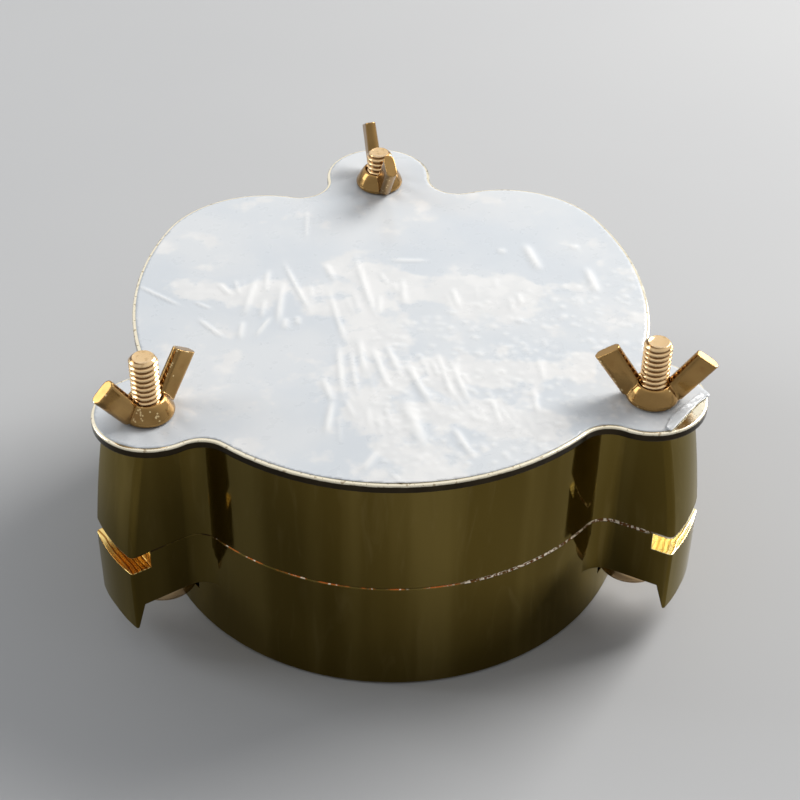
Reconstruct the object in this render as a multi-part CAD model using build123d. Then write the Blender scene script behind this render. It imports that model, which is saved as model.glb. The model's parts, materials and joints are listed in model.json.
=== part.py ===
"""Three-bolt denture flask, closed for storage.

Two arch-shaped brass halves meet at a parting line and a flat lid plate closes the top. Three ears
carry carriage bolts whose wing nuts clamp the stack. Each ear has a pry slot at the parting line and
an apron that hangs below it and guards the bolt head. A loose ejector plate lies in the floor of the
lower half, and a thin protective film still covers the lid.

Millimetres, +Z up. The base plane is z = 0 and the origin is the centre of the round front wall.
The back ear points along +Y, and the front ears point 30 degrees forward of the X axis.
"""
import os
from math import atan2, cos, degrees, hypot, radians, sin, sqrt, tan

from build123d import *

# Heights of the stack
LOWER_HEIGHT = 30.3
UPPER_HEIGHT = 28.9
LID_THICKNESS = 2.0
FILM_THICKNESS = 0.2

# Outline of the lid: round front, two side arcs and two back lobes
FRONT_R = 58.0
LOBE_R = 25.7
LOBE_X = 30.0
LOBE_Y = 28.6
BACK_NOTCH_R = 9.0
LID_OVERHANG = 0.9
LID_EDGE_ROUND = 0.5
FILM_MARGIN = 1.3

# Ears of the lid: discs blended into the outline
LID_EAR_R = 13.2
LID_EAR_REACH = 4.2
LID_FRONT_BLEND = 7.0
LID_SIDE_BLEND = 4.0
LID_LOBE_BLEND = 7.1

# Ears of the two halves
EAR_ANGLES = {"front_left": 210, "front_right": 330, "back": 90}
EAR_WIDTH = 17.4
EAR_REACH = 17.8
EAR_ROOT_BLEND = 5.5
EAR_END_R = 42.0
LOWER_CORNER_ROUND = 0.8
UPPER_CORNER_ROUND = 1.5
LOWER_EAR_HEIGHT = 15.1
UPPER_EAR_LEAN = 4.5
UPPER_EAR_SETBACK = 0.3
UPPER_EAR_BULGE = 0.4
SLOT_HEIGHT = 4.6
SLOT_DEPTH = 5.8
APRON_DROP = 6.6
APRON_ROOT = 3.4
APRON_TIP = 1.3

# Walls, cavity and register between the halves
WALL = 5.0
DRAFT_ANGLE = 2.0
FLOOR = 4.5
FLOOR_ROUND = 3.0
TONGUE_HEIGHT = 2.0
TONGUE_WIDTH = 1.8
TONGUE_CLEARANCE = 0.25
SEAM_BEVEL = 0.25
BASE_BEVEL = 0.6

# Ejector plate in the floor
EJECTOR_R = 26.0
EJECTOR_FLANGE = 2.4
EJECTOR_BOSS_R = 19.7
EJECTOR_CLEARANCE = 0.3

# Carriage bolts
SHANK_R = 3.15
BOLT_HOLE_CLEARANCE = 0.25
FRONT_BOLT_REACH = 5.2
BACK_BOLT_REACH = 0.2
FRONT_BOLT_PROUD = 15.1
BACK_BOLT_PROUD = 9.3
BOLT_TIP_BEVEL = 0.8
HEAD_R = 7.6
HEAD_RIM = 3.6
HEAD_HEIGHT = 6.2
HEAD_CLEARANCE = 0.4
NECK_WIDTH = 6.4
NECK_HEIGHT = 4.0
NECK_CLEARANCE = 0.2

# Wing nuts
NUT_SEAT_GAP = 0.02
NUT_BORE_CLEARANCE = 0.05
NUT_BASE_R = 5.9
NUT_BASE_HEIGHT = 1.4
NUT_BASE_ROUND = 0.5
NUT_TOP_R = 4.0
NUT_HEIGHT = 4.3
WING_ROOT = (4.7, 2.3)
WING_TIP = (10.8, 11.4)
WING_ROOT_WIDTH = 5.4
WING_ROOT_THICKNESS = 3.0
WING_TIP_WIDTH = 5.2
WING_TIP_THICKNESS = 2.3
NUT_TURNS = {"front_left": 220.5, "front_right": 169.5, "back": 101.5}

# Levels worked out from the heights
SEAM_Z = LOWER_HEIGHT
LID_Z = SEAM_Z + UPPER_HEIGHT
FILM_Z = LID_Z + LID_THICKNESS
NUT_Z = FILM_Z + FILM_THICKNESS + NUT_SEAT_GAP
EAR_BOTTOM_Z = SEAM_Z - LOWER_EAR_HEIGHT
SLOT_BOTTOM_Z = SEAM_Z - SLOT_HEIGHT
BOLT_HOLE_R = SHANK_R + BOLT_HOLE_CLEARANCE
EAR_END = FRONT_R + EAR_REACH
CAVITY_INSET = LID_OVERHANG + WALL
PAST = 1.0


def polar(radius, angle, centre=(0, 0)):
    """Point at a radius and an angle in degrees about a centre."""
    return (centre[0] + radius * cos(radians(angle)), centre[1] + radius * sin(radians(angle)))


def toward(start, end, distance):
    """Point at a distance from start on the way to end."""
    share = distance / hypot(end[0] - start[0], end[1] - start[1])
    return (start[0] + share * (end[0] - start[0]), start[1] + share * (end[1] - start[1]))


def mirrored(point):
    """The same point on the other side of the flask's plane of symmetry."""
    return (-point[0], point[1])


def bolt_radius(name):
    """Distance of a bolt from the origin."""
    return FRONT_R + (BACK_BOLT_REACH if name == "back" else FRONT_BOLT_REACH)


def bolt_centre(name):
    """Place of a bolt in plan."""
    return polar(bolt_radius(name), EAR_ANGLES[name])


def side_circle():
    """Centre and radius of the right side arc, tangent to the front arc at the ear and to the lobe."""
    ahead = polar(1, EAR_ANGLES["front_right"])
    spare = FRONT_R - LOBE_R
    beside = LOBE_X * ahead[0] + LOBE_Y * ahead[1]
    beyond = (LOBE_X ** 2 + LOBE_Y ** 2 - spare ** 2) / (2 * (spare - beside))
    return (-beyond * ahead[0], -beyond * ahead[1]), FRONT_R + beyond


def arch(inset):
    """Face inside the lid's outline by inset, without ears: front, sides, lobes and a back notch."""
    lobe = (LOBE_X, LOBE_Y)
    lobe_r = LOBE_R - inset
    side_centre, side_r = side_circle()
    notch = (0, LOBE_Y + sqrt((LOBE_R + BACK_NOTCH_R) ** 2 - LOBE_X ** 2))
    join_angle = degrees(atan2(LOBE_Y - side_centre[1], LOBE_X - side_centre[0]))
    notch_angle = degrees(atan2(notch[1] - LOBE_Y, -LOBE_X))
    ear = polar(FRONT_R - inset, EAR_ANGLES["front_right"])
    join = polar(lobe_r, join_angle, lobe)
    crown = polar(lobe_r, (join_angle + notch_angle) / 2, lobe)
    shoulder = polar(lobe_r, notch_angle, lobe)
    bulge = toward(side_centre, ((ear[0] + join[0]) / 2, (ear[1] + join[1]) / 2), side_r - inset)
    edges = [
        ThreePointArc(mirrored(ear), (0, inset - FRONT_R), ear),
        ThreePointArc(ear, bulge, join),
        ThreePointArc(join, crown, shoulder),
        ThreePointArc(shoulder, (0, notch[1] - BACK_NOTCH_R - inset), mirrored(shoulder)),
        ThreePointArc(mirrored(shoulder), mirrored(crown), mirrored(join)),
        ThreePointArc(mirrored(join), mirrored(bulge), mirrored(ear)),
    ]
    return make_face(edges)


def blend(start, end, centre, radius, inner_points):
    """Web with one hollow edge of a radius from start to end, closed through points in the body."""
    middle = ((start[0] + end[0]) / 2, (start[1] + end[1]) / 2)
    hollow = ThreePointArc(start, toward(centre, middle, radius), end)
    return make_face([hollow, Polyline(end, *inner_points, start)])


def lid_blend(body_centre, body_r, ear_centre, radius, side):
    """Web between a round stretch of the lid's outline and a round ear, on one side of the ear."""
    reach = (body_r + radius, LID_EAR_R + radius)
    span = hypot(ear_centre[0] - body_centre[0], ear_centre[1] - body_centre[1])
    along = (span ** 2 + reach[0] ** 2 - reach[1] ** 2) / (2 * span)
    across = side * sqrt(reach[0] ** 2 - along ** 2)
    axis = ((ear_centre[0] - body_centre[0]) / span, (ear_centre[1] - body_centre[1]) / span)
    centre = (
        body_centre[0] + along * axis[0] - across * axis[1],
        body_centre[1] + along * axis[1] + across * axis[0],
    )
    start = toward(body_centre, centre, body_r)
    end = toward(ear_centre, centre, LID_EAR_R)
    return blend(start, end, centre, radius, [ear_centre, body_centre])


def lid_outline():
    """The lid's face: the arch with three round ears blended in."""
    right_ear = polar(FRONT_R + LID_EAR_REACH, EAR_ANGLES["front_right"])
    back_ear = polar(FRONT_R + LID_EAR_REACH, EAR_ANGLES["back"])
    side_centre, side_r = side_circle()
    right_half = [
        Pos(*right_ear) * Circle(LID_EAR_R),
        lid_blend((0, 0), FRONT_R, right_ear, LID_FRONT_BLEND, -1),
        lid_blend(side_centre, side_r, right_ear, LID_SIDE_BLEND, 1),
        lid_blend((LOBE_X, LOBE_Y), LOBE_R, back_ear, LID_LOBE_BLEND, -1),
    ]
    left_half = [mirror(face, about=Plane.YZ) for face in right_half]
    neck = Polygon((-LOBE_X, LOBE_Y), (LOBE_X, LOBE_Y), back_ear, align=None)
    return arch(0) + right_half + left_half + neck + Pos(*back_ear) * Circle(LID_EAR_R)


def flank_blend(angle, side, body_centre, body_r):
    """Web between one flank of a straight ear and the round wall beside it."""
    turned = polar(hypot(*body_centre), degrees(atan2(body_centre[1], body_centre[0])) - angle)
    flank = side * EAR_WIDTH / 2
    centre_n = flank + side * EAR_ROOT_BLEND
    rise = sqrt((body_r + EAR_ROOT_BLEND) ** 2 - (centre_n - turned[1]) ** 2)
    centre = (turned[0] + rise, centre_n)
    start = (centre[0], flank)
    end = toward(turned, centre, body_r)
    inner_points = [turned, (turned[0], flank / 2), (centre[0], flank / 2)]
    return Rot(0, 0, angle) * blend(start, end, centre, EAR_ROOT_BLEND, inner_points)


def root_webs():
    """Plans of the webs that blend the flanks of the straight ears into the round walls."""
    side_centre, side_r = side_circle()
    right = EAR_ANGLES["front_right"]
    right_half = [
        flank_blend(right, -1, (0, 0), FRONT_R - LID_OVERHANG),
        flank_blend(right, 1, side_centre, side_r - LID_OVERHANG),
        flank_blend(EAR_ANGLES["back"], -1, (LOBE_X, LOBE_Y), LOBE_R - LID_OVERHANG),
    ]
    return right_half + [mirror(web, about=Plane.YZ) for web in right_half]


def lower_ear_section():
    """Distance and height section of a lower ear: bolt pad, hanging apron and pry slot at the top."""
    tip_z = EAR_BOTTOM_Z - APRON_DROP
    section = Polygon(
        (0, EAR_BOTTOM_Z),
        (EAR_END - APRON_ROOT, EAR_BOTTOM_Z),
        (EAR_END - APRON_TIP, tip_z),
        (EAR_END, tip_z),
        (EAR_END, SLOT_BOTTOM_Z),
        (EAR_END - SLOT_DEPTH, SLOT_BOTTOM_Z),
        (EAR_END - SLOT_DEPTH, SEAM_Z),
        (0, SEAM_Z),
        align=None,
    )
    tip_corners = section.vertices().sort_by(Axis.Y)[:2]
    return fillet(tip_corners, APRON_TIP / 3)


def lower_ear_plan():
    """Plan of a lower ear: straight flanks and a gently rounded end."""
    flank = EAR_WIDTH / 2
    corner_x = EAR_END - EAR_END_R + sqrt(EAR_END_R ** 2 - flank ** 2)
    end = ThreePointArc((corner_x, -flank), (EAR_END, 0), (corner_x, flank))
    plan = make_face([end, Polyline((corner_x, flank), (0, flank), (0, -flank), (corner_x, -flank))])
    return fillet(plan.vertices().sort_by(Axis.X)[-2:], LOWER_CORNER_ROUND)


def lower_ear():
    """Lower ear along the X axis: its section, trimmed to its plan."""
    block = extrude(Plane.XZ * lower_ear_section(), amount=EAR_WIDTH / 2, both=True)
    return block & extrude(lower_ear_plan(), amount=SEAM_Z)


def upper_ear():
    """Upper ear along the X axis: turned, so that its leaning, bulged end is rounded in plan too."""
    foot_r = EAR_END_R - UPPER_EAR_SETBACK
    top_r = foot_r - UPPER_EAR_LEAN
    belly_r = (foot_r + top_r) / 2 + UPPER_EAR_BULGE
    slope = ThreePointArc((-foot_r, 0), (-belly_r, UPPER_HEIGHT / 2), (-top_r, UPPER_HEIGHT))
    core = Polyline((-top_r, UPPER_HEIGHT), (0, UPPER_HEIGHT), (0, 0), (-foot_r, 0))
    turned = revolve(Plane.XZ * make_face([slope, core]), axis=Axis.Z)
    ear = turned & Pos(0, 0, UPPER_HEIGHT / 2) * Box(2 * EAR_END_R, EAR_WIDTH, UPPER_HEIGHT)
    end_edges = ear.faces().sort_by(Axis.X)[-1].edges()
    corners = sorted(end_edges, key=lambda edge: abs(edge.center().Y))[-2:]
    return Pos(EAR_END - EAR_END_R, 0, SEAM_Z) * fillet(corners, UPPER_CORNER_ROUND)


def at_ears(ear):
    """One ear at each of the three places."""
    return [Rot(0, 0, angle) * ear for angle in EAR_ANGLES.values()]


def drafted(inset, bottom_z, top_z, shrink_to):
    """Arch-shaped core between two levels that draws in by the draft angle towards one of them."""
    drawn_in = inset + (top_z - bottom_z) * tan(radians(DRAFT_ANGLE))
    bottom_inset, top_inset = (drawn_in, inset) if shrink_to == "bottom" else (inset, drawn_in)
    return loft([Pos(0, 0, bottom_z) * arch(bottom_inset), Pos(0, 0, top_z) * arch(top_inset)], ruled=True)


def bolt_holes(bottom_z, top_z):
    """Clearance holes for the three bolts between two levels."""
    height = top_z - bottom_z
    return [Pos(*bolt_centre(name), bottom_z + height / 2) * Cylinder(BOLT_HOLE_R, height) for name in EAR_ANGLES]


def make_lower_half():
    """Cup-shaped lower half with ears, aprons, pry slots, register tongue and ejector seat."""
    half = extrude(arch(LID_OVERHANG), amount=LOWER_HEIGHT)
    half = chamfer(half.faces().sort_by(Axis.Z)[0].edges(), BASE_BEVEL)
    half = chamfer(half.faces().sort_by(Axis.Z)[-1].edges(), SEAM_BEVEL)
    for web in root_webs():
        half += Pos(0, 0, EAR_BOTTOM_Z) * extrude(web, amount=LOWER_EAR_HEIGHT)
    for ear in at_ears(lower_ear()):
        half += ear
    tongue = arch(CAVITY_INSET - TONGUE_WIDTH)
    half += Pos(0, 0, SEAM_Z) * extrude(tongue, amount=TONGUE_HEIGHT)
    pocket = drafted(CAVITY_INSET, FLOOR, SEAM_Z, "bottom")
    half -= fillet(pocket.faces().sort_by(Axis.Z)[0].edges(), FLOOR_ROUND)
    half -= Pos(0, 0, SEAM_Z) * extrude(arch(CAVITY_INSET), amount=TONGUE_HEIGHT + PAST)
    half -= Pos(0, 0, FLOOR / 2) * Cylinder(EJECTOR_BOSS_R + EJECTOR_CLEARANCE, FLOOR)
    seat_z = FLOOR - EJECTOR_FLANGE / 2
    half -= Pos(0, 0, seat_z) * Cylinder(EJECTOR_R + EJECTOR_CLEARANCE, EJECTOR_FLANGE)
    half -= bolt_holes(EAR_BOTTOM_Z, SEAM_Z)
    relief_height = HEAD_HEIGHT + HEAD_CLEARANCE
    neck_hole = NECK_WIDTH + 2 * NECK_CLEARANCE
    for name, angle in EAR_ANGLES.items():
        place = Pos(*bolt_centre(name), EAR_BOTTOM_Z)
        half -= place * Pos(0, 0, -relief_height / 2) * Cylinder(HEAD_R + HEAD_CLEARANCE, relief_height)
        neck_depth = NECK_HEIGHT + NECK_CLEARANCE
        half -= place * Rot(0, 0, angle) * Pos(0, 0, neck_depth / 2) * Box(neck_hole, neck_hole, neck_depth)
    return half


def make_upper_half():
    """Ring-shaped upper half with leaning ears and the rebate that takes the tongue."""
    half = Pos(0, 0, SEAM_Z) * extrude(arch(LID_OVERHANG), amount=UPPER_HEIGHT)
    half = chamfer(half.faces().sort_by(Axis.Z)[0].edges(), SEAM_BEVEL)
    for web in root_webs():
        half += Pos(0, 0, SEAM_Z) * extrude(web, amount=UPPER_HEIGHT)
    for ear in at_ears(upper_ear()):
        half += ear
    half -= drafted(CAVITY_INSET, SEAM_Z, LID_Z, "top")
    rebate = arch(CAVITY_INSET - TONGUE_WIDTH - TONGUE_CLEARANCE)
    half -= Pos(0, 0, SEAM_Z) * extrude(rebate, amount=TONGUE_HEIGHT + TONGUE_CLEARANCE)
    half -= bolt_holes(SEAM_Z, LID_Z)
    return half


def make_lid_plate():
    """Flat plate with round ears and a rounded top edge."""
    plate = extrude(lid_outline(), amount=LID_THICKNESS)
    plate = fillet(plate.faces().sort_by(Axis.Z)[-1].edges(), LID_EDGE_ROUND)
    return Pos(0, 0, LID_Z) * plate - bolt_holes(LID_Z, FILM_Z)


def make_lid_film():
    """Thin film on the lid, a little smaller than the plate."""
    sheet = extrude(offset(lid_outline(), amount=-FILM_MARGIN), amount=FILM_THICKNESS)
    return Pos(0, 0, FILM_Z) * sheet - bolt_holes(FILM_Z, FILM_Z + FILM_THICKNESS)


def make_ejector_plate():
    """Loose disc in the floor, with a boss that fills the hole in the base."""
    flange = Pos(0, 0, FLOOR - EJECTOR_FLANGE / 2) * Cylinder(EJECTOR_R, EJECTOR_FLANGE)
    boss_height = FLOOR - EJECTOR_FLANGE
    return flange + Pos(0, 0, boss_height / 2) * Cylinder(EJECTOR_BOSS_R, boss_height)


def make_bolt(name):
    """Carriage bolt: domed head under the ear, square neck and round shank."""
    proud = BACK_BOLT_PROUD if name == "back" else FRONT_BOLT_PROUD
    length = FILM_Z + proud - EAR_BOTTOM_Z
    dome_height = HEAD_HEIGHT - HEAD_RIM
    dome_r = (HEAD_R ** 2 + dome_height ** 2) / (2 * dome_height)
    dome_centre = (0, dome_r - HEAD_HEIGHT)
    dome_middle = toward(dome_centre, (HEAD_R / 2, -HEAD_HEIGHT), dome_r)
    dome = ThreePointArc((HEAD_R, -HEAD_RIM), dome_middle, (0, -HEAD_HEIGHT))
    rim = Polyline((0, -HEAD_HEIGHT), (0, 0), (HEAD_R, 0), (HEAD_R, -HEAD_RIM))
    head = revolve(Plane.XZ * make_face([dome, rim]), axis=Axis.Z)
    neck = Rot(0, 0, EAR_ANGLES[name]) * Pos(0, 0, NECK_HEIGHT / 2) * Box(NECK_WIDTH, NECK_WIDTH, NECK_HEIGHT)
    shank = Pos(0, 0, length / 2) * Cylinder(SHANK_R, length)
    shank = chamfer(shank.faces().sort_by(Axis.Z)[-1].edges(), BOLT_TIP_BEVEL)
    return Pos(*bolt_centre(name), EAR_BOTTOM_Z) * (head + neck + shank)


def make_wing():
    """One blade of a wing nut, rising from the hub in the XZ plane."""
    rise = (WING_TIP[0] - WING_ROOT[0], 0, WING_TIP[1] - WING_ROOT[1])
    across = (-rise[2], 0, rise[0])
    root = Plane(origin=(WING_ROOT[0], 0, WING_ROOT[1]), x_dir=across, z_dir=rise)
    tip = Plane(origin=(WING_TIP[0], 0, WING_TIP[1]), x_dir=across, z_dir=rise)
    return loft([
        root * SlotOverall(WING_ROOT_WIDTH, WING_ROOT_THICKNESS),
        tip * SlotOverall(WING_TIP_WIDTH, WING_TIP_THICKNESS),
    ])


def make_wing_nut(name):
    """Wing nut: conical hub with a flange, two straight square-ended blades and a plain bore."""
    hub_outline = Polygon(
        (0, 0),
        (NUT_BASE_R, 0),
        (NUT_BASE_R, NUT_BASE_HEIGHT),
        (NUT_TOP_R, NUT_HEIGHT),
        (0, NUT_HEIGHT),
        align=None,
    )
    hub = revolve(Plane.XZ * hub_outline, axis=Axis.Z)
    hub = fillet(hub.faces().sort_by(Axis.Z)[0].edges(), NUT_BASE_ROUND)
    wing = make_wing()
    nut = hub + wing + mirror(wing, about=Plane.YZ)
    bore_height = WING_TIP[1] + WING_TIP_WIDTH
    nut -= Pos(0, 0, bore_height / 2) * Cylinder(SHANK_R + NUT_BORE_CLEARANCE, bore_height)
    return Pos(*bolt_centre(name), NUT_Z) * Rot(0, 0, NUT_TURNS[name]) * nut


def build():
    """Every sub-part by name."""
    parts = {
        "lower_half": make_lower_half(),
        "upper_half": make_upper_half(),
        "lid_plate": make_lid_plate(),
        "lid_film": make_lid_film(),
        "ejector_plate": make_ejector_plate(),
    }
    for name in EAR_ANGLES:
        parts[f"bolt_{name}"] = make_bolt(name)
        parts[f"wing_nut_{name}"] = make_wing_nut(name)
    return parts


os.makedirs("parts", exist_ok=True)
for node, shape in build().items():
    export_step(shape, f"parts/{node}.step")
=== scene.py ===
"""Looks of the three-bolt denture flask: finishes, threads, cast wing nuts and the creased film.

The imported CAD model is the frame. The halves, the lid plate and the ejector plate keep their CAD
shapes and get their finish here. The bolts get their thread, the wing nuts their cast blends and the
protective film its creases, each in place of its CAD node. Sizes are millimetres times MM.
"""
import json
from math import atan2, cos, degrees, radians, sin, tau

import bmesh
import bpy
import numpy as np
from mathutils import Matrix, Vector
from mathutils.geometry import delaunay_2d_cdt

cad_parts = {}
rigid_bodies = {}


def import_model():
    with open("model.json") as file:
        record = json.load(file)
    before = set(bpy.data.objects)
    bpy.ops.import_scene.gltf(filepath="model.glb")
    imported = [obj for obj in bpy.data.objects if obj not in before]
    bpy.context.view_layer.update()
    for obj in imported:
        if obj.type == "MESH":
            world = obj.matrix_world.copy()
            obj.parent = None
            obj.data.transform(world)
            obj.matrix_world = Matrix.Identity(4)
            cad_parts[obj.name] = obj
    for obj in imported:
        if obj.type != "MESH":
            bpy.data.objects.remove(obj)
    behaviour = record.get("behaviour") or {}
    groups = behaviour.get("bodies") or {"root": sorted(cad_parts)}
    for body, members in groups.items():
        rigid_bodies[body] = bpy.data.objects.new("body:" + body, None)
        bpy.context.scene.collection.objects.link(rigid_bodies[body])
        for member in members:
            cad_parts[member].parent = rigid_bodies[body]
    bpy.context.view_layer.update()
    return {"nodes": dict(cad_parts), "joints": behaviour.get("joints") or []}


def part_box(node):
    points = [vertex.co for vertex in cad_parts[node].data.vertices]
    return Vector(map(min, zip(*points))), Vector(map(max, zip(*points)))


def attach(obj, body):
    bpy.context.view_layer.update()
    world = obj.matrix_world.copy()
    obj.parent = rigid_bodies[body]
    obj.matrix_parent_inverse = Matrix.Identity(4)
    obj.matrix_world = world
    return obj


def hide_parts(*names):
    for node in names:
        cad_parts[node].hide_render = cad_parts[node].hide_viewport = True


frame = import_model()
MM = 0.001

# Levels and sizes that follow the CAD model
SEAM_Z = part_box("upper_half")[0].z / MM
LID_TOP_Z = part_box("lid_plate")[1].z / MM
NUT_SEAT_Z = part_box("wing_nut_back")[0].z / MM
SLOT_BOTTOM_Z = 25.7
SLOT_BACK_REACH = 70.0
EAR_ANGLES = {"front_left": 210, "front_right": 330, "back": 90}
NUT_TURNS = {"front_left": 220.5, "front_right": 169.5, "back": 101.5}
EAR_BOTTOM_Z = 15.2
CUTTER_MARKS = 5.5
BOLT_PLACES = {joint["name"].replace("_nut_turn", ""): joint["pos_m"] for joint in frame["joints"]}

# World light: where its bright side lies, its dim level, its share of the light on matt surfaces, where
# it turns from dim to bright, and its colour
BRIGHT_SIDE = (0.18, 0.70, 0.69)
AIR_DIM = 0.50
AIR_LIGHT = 0.45
AIR_SPAN = (-0.25, 0.65)
AIR_COLOR = (0.97, 0.98, 1.0, 1)

# Soft lamps, in metres and watts: place, target, size, power, colour, and whether they light matt surfaces
LAMPS = {
    "key": ((0.66, 0.42, 0.66), (0, 0, 0.03), (0.50, 0.50), 10.5, (1.0, 0.98, 0.95), True),
    "low_window": ((0.87, 0.705, 0.22), (0.06, -0.03, 0.07), (0.35, 0.34), 2.0, (1.0, 1.0, 1.0), False),
    "left_fill": ((-0.80, 0.20, 0.42), (0, 0, 0.03), (0.30, 0.55), 2.2, (0.93, 0.97, 1.0), True),
}
FLOOR_REACH = 2500

# Camera as solved from the photograph: millimetres, degrees, and a focal length in the photograph's pixels
CAMERA_PLACE = (-22.4, -326.6, 302.3)
CAMERA_AIM = (-0.36, -29.98, 61.2)
CAMERA_ROLL = 0.89
CAMERA_FOCUS = 1760
CAMERA_SENSOR = 36
PHOTO_SIZE = 800

# Bolts
SHANK_R = 3.15
THREAD_PITCH = 1.27
THREAD_DEPTH = 0.62
THREAD_START_Z = 57.0
BOLT_TIP_BEVEL = 0.8
HEAD_R = 7.6
HEAD_RIM = 3.6
HEAD_HEIGHT = 6.2
NECK_WIDTH = 6.4
NECK_HEIGHT = 4.0

# Wing nuts: half section of the hub, then the blades
HUB_SECTION = [
    (3.3, 0.0), (5.5, 0.0), (5.85, 0.3), (5.9, 0.95), (5.65, 1.5), (5.35, 2.1),
    (4.95, 2.9), (4.5, 3.6), (4.1, 4.15), (3.75, 4.4), (3.3, 4.3),
]
NUT_BORE_R = 3.35
BLADE_ROOT = (4.3, 1.9)
BLADE_TIP = (10.8, 11.4)
BLADE_ROOT_SIZE = (5.6, 3.3)
BLADE_TIP_SIZE = (5.9, 2.7)
NUT_VOXEL = 0.15
NUT_SMOOTHING = 12

# Film: where it hangs loose from the lid, its blisters and the torn corner at the right ear
LOOSE_BANDS = [
    ((-50, 14), (-33, 12), 5.0),
    ((-33, 12), (-12, 8), 8.0),
    ((-8, 12), (30, 9), 9.0),
    ((-6, 18), (-4, -22), 10.0),
    ((-4, -22), (0, -53), 15.0),
    ((4, -22), (40, -20), 8.0),
    ((8, -34), (30, -40), 7.0),
]
# Long blisters, read on two enlarged crops, each named by the photograph's pixel at its upper left.
# Some ends were then moved a little. Both ends are in the crop's own pixels, CROP_ZOOM to one of
# the photograph. Then come half width and height in millimetres.
CROP_ZOOM = 5.227
FILM_LEVEL = LID_TOP_Z + 0.1
BLISTER_READINGS = {
    (180, 230): [
        ((385, 270), (330, 440), 0.9, 0.36), ((470, 215), (455, 320), 0.7, 0.28),
        ((535, 290), (510, 470), 0.8, 0.34), ((560, 200), (675, 420), 0.55, 0.32),
        ((760, 185), (795, 255), 0.7, 0.28), ((915, 170), (1000, 430), 0.8, 0.34),
        ((784, 342), (865, 578), 0.55, 0.26), ((815, 620), (835, 850), 0.7, 0.32),
        ((750, 790), (795, 900), 0.7, 0.28), ((795, 890), (760, 1050), 0.7, 0.32),
        ((900, 640), (930, 840), 0.6, 0.26), ((940, 590), (965, 740), 0.8, 0.32),
        ((1001, 641), (1079, 829), 0.7, 0.30), ((1080, 610), (1149, 760), 0.8, 0.32),
        ((1195, 712), (1315, 908), 0.9, 0.42), ((1175, 883), (1270, 1127), 1.5, 0.45),
        ((1340, 660), (1411, 860), 0.6, 0.30), ((1420, 690), (1500, 880), 0.7, 0.32),
        ((1434, 1031), (1536, 1179), 0.8, 0.32), ((1030, 1168), (956, 1255), 0.8, 0.30),
        ((1160, 270), (1170, 390), 0.8, 0.28), ((1420, 310), (1450, 400), 0.8, 0.28),
        ((1040, 350), (1035, 440), 0.7, 0.24), ((100, 470), (215, 555), 0.5, 0.28),
        ((80, 385), (150, 414), 0.4, 0.22), ((198, 286), (252, 340), 0.6, 0.26),
        ((285, 270), (300, 330), 0.5, 0.24), ((455, 460), (390, 545), 0.5, 0.30),
        ((330, 480), (315, 565), 0.6, 0.28), ((445, 370), (430, 450), 0.6, 0.26),
        ((560, 460), (555, 515), 0.8, 0.26), ((610, 460), (612, 500), 0.7, 0.24),
        ((1095, 160), (1270, 160), 0.7, 0.22),
    ],
    (440, 180): [
        ((455, 350), (520, 465), 1.1, 0.42), ((768, 461), (817, 574), 1.0, 0.38),
        ((415, 600), (420, 650), 0.8, 0.26), ((258, 1145), (302, 1266), 0.6, 0.26),
        ((478, 1090), (502, 1211), 0.6, 0.26),
    ],
}
# Four more in millimetres: centre, length, half width, direction in degrees, height
OTHER_BLISTERS = [
    (-19, 40, 10, 0.4, 88, 0.20),
    (-54.5, 11.5, 11.5, 0.4, -40, 0.28),
    (28, 26, 2, 1.0, 0, 0.2),
    (46, 27, 2, 1.0, 0, 0.2),
]
CREASE_COUNT = 45
SPECK_COUNT = 700
FILM_GRID = 0.62
FILM_SPREAD = 0.55
TORN_LINE = ((56.1, -44.5), (66.0, -32.7))
FLAP_WIDTH = 2.3
FLAP_STEPS = (26, 7)
# The sheet: its thickness and gap above the lid, its lift where loose, spacing and clearances of its mesh,
# and where its edge sticks out at the right ear and in at the left one
FILM_GAUGE = 0.06
LOOSE_LIFT = 0.10
EDGE_STEP = 0.8
BORDER_GAP = 0.3
TEAR_SNAP = 0.35
HOLE_CLEARANCE = 0.25
FILM_TIP = (66.0, -31.8)
FILM_NICK = (-66.0, -27.2)


def add_object(name, vertices, faces, smooth=True):
    """Mesh object from points in millimetres."""
    mesh = bpy.data.meshes.new(name)
    mesh.from_pydata([tuple(MM * value for value in vertex) for vertex in vertices], [], faces)
    mesh.validate()
    if smooth:
        mesh.shade_smooth()
    piece = bpy.data.objects.new(name, mesh)
    bpy.context.scene.collection.objects.link(piece)
    return piece


def ring_faces(rows, columns, closed=True):
    """Quads of a grid whose rows are rings."""
    faces = []
    for row in range(rows - 1):
        for column in range(columns if closed else columns - 1):
            ahead = (column + 1) % columns
            faces.append((
                row * columns + column,
                row * columns + ahead,
                (row + 1) * columns + ahead,
                (row + 1) * columns + column,
            ))
    return faces


def join_objects(name, pieces):
    """One object of several."""
    for piece in bpy.context.scene.objects:
        piece.select_set(piece in pieces)
    bpy.context.view_layer.objects.active = pieces[0]
    bpy.ops.object.join()
    pieces[0].name = name
    return pieces[0]


def apply_modifier(piece, kind, **settings):
    """Adds one modifier and applies it."""
    modifier = piece.modifiers.new(kind.lower(), kind)
    for key, value in settings.items():
        setattr(modifier, key, value)
    bpy.context.view_layer.objects.active = piece
    with bpy.context.temp_override(object=piece, active_object=piece, selected_objects=[piece]):
        bpy.ops.object.modifier_apply(modifier=modifier.name)


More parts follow.
